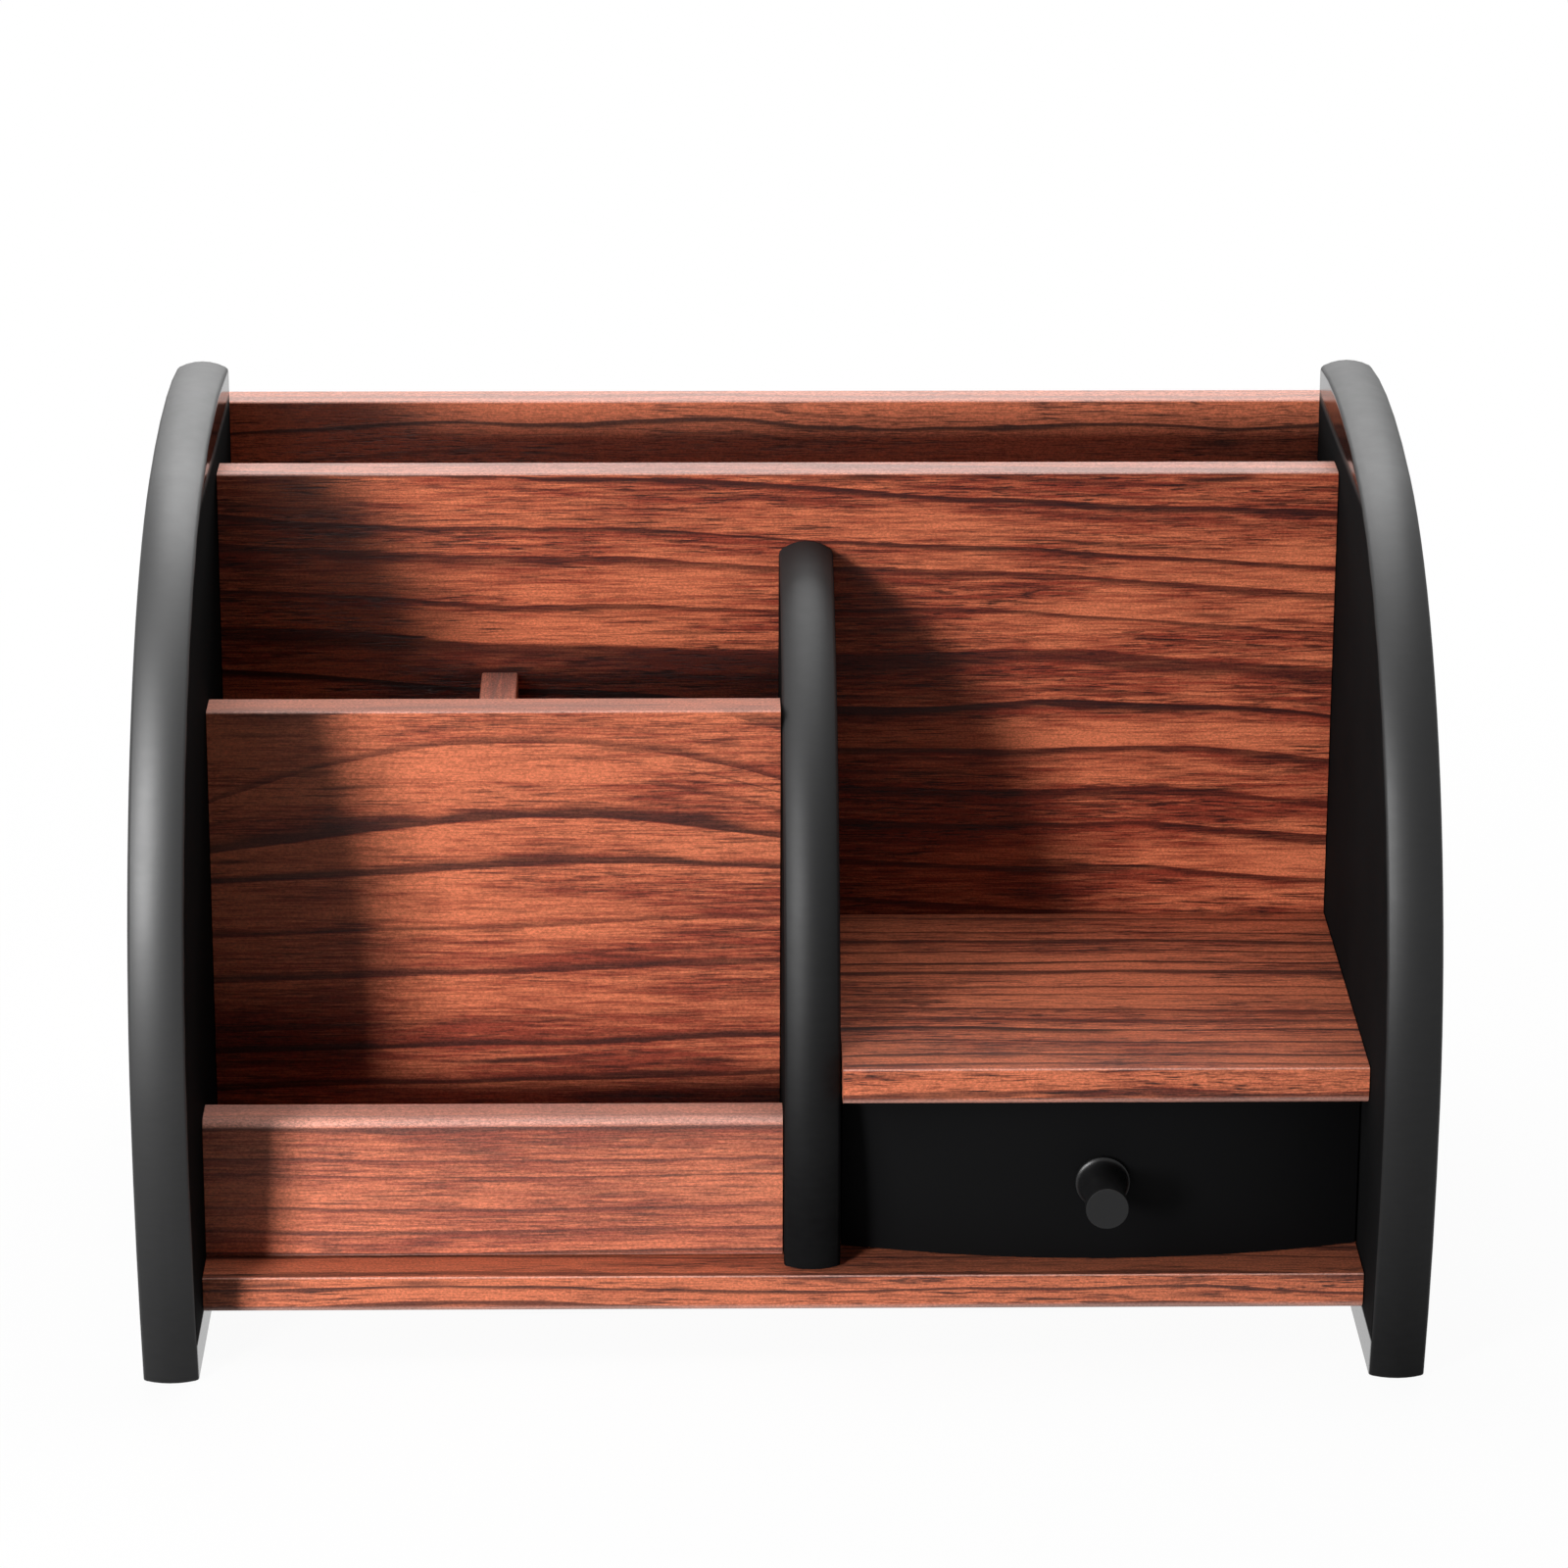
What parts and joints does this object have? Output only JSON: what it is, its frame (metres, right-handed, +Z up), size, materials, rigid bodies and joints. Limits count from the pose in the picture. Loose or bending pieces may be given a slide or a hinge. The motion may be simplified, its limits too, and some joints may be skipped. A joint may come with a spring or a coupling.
{
  "type": "pen holder with drawer",
  "caption": "Desk pen holder: wood-faced boards between curved black sides form a file slot, pen bays, a tray and a shelf over a sliding bow-front drawer.",
  "frame": {"origin": "on the table, under the middle of the holder's bounding box", "axes": "+X to the right seen from the front, +Y to the back, +Z up"},
  "size_m": [0.3, 0.1948, 0.2019],
  "materials": {
    "side_lacquer": "satin black lacquer on fibreboard, edges crowned",
    "divider_lacquer": "satin black lacquer on fibreboard",
    "rosewood_board": "satin rosewood-look facing with dark wavy grain",
    "drawer_lacquer": "satin black lacquer on fibreboard",
    "knob_black": "satin black, fine edge highlights",
    "drawer_box_wood": "plain sanded wood",
    "cap_black": "moulded black",
    "zinc_screw": "zinc plated",
    "beech_dowel": "plain beech"
  },
  "bodies": {
    "carcass": {"left_side": "side_lacquer", "right_side": "side_lacquer", "centre_divider": "divider_lacquer", "base_board": "rosewood_board", "back_panel": "rosewood_board", "file_panel": "rosewood_board", "pen_panel": "rosewood_board", "pen_partition": "rosewood_board", "front_lip": "rosewood_board", "shelf": "rosewood_board", "left_cap_base_front": "cap_black", "left_cap_base_rear": "cap_black", "left_cap_file_panel": "cap_black", "left_cap_pen_panel": "cap_black", "left_cap_front_lip": "cap_black", "right_cap_base_front": "cap_black", "right_cap_base_rear": "cap_black", "right_cap_file_panel": "cap_black", "right_cap_shelf": "cap_black", "left_screw_base_front": "zinc_screw", "left_screw_base_rear": "zinc_screw", "left_screw_file_panel": "zinc_screw", "left_screw_pen_panel": "zinc_screw", "left_screw_front_lip": "zinc_screw", "right_screw_base_front": "zinc_screw", "right_screw_base_rear": "zinc_screw", "right_screw_file_panel": "zinc_screw", "right_screw_shelf": "zinc_screw", "base_screw_front_lip": "zinc_screw", "base_screw_pen_panel": "zinc_screw", "base_screw_pen_partition": "zinc_screw", "base_screw_centre_divider": "zinc_screw", "rear_screw_centre_divider": "zinc_screw", "rear_screw_shelf": "zinc_screw", "rear_screw_pen_partition": "zinc_screw", "back_screw_left_high": "zinc_screw", "back_screw_left_low": "zinc_screw", "back_screw_right_high": "zinc_screw", "back_screw_right_low": "zinc_screw", "back_screw_base_left": "zinc_screw", "back_screw_base_right": "zinc_screw", "left_dowel_file_panel": "beech_dowel", "left_dowel_pen_panel": "beech_dowel", "right_dowel_file_panel": "beech_dowel", "right_dowel_shelf": "beech_dowel", "divider_dowel_pen_panel": "beech_dowel", "divider_dowel_front_lip": "beech_dowel", "divider_dowel_shelf": "beech_dowel"},
    "drawer": {"drawer_front": "drawer_lacquer", "drawer_knob": "knob_black", "drawer_left_wall": "drawer_box_wood", "drawer_right_wall": "drawer_box_wood", "drawer_back_wall": "drawer_box_wood", "drawer_bottom": "drawer_box_wood", "knob_screw": "zinc_screw", "drawer_brad_left": "zinc_screw", "drawer_brad_right": "zinc_screw", "drawer_dowel_left": "beech_dowel", "drawer_dowel_right": "beech_dowel"}
  },
  "joints": [
    {"name": "drawer_slide", "type": "slide", "parent": "carcass", "child": "drawer", "axis": [0, -1, 0], "range_m": [0, 0.085]}
  ]
}
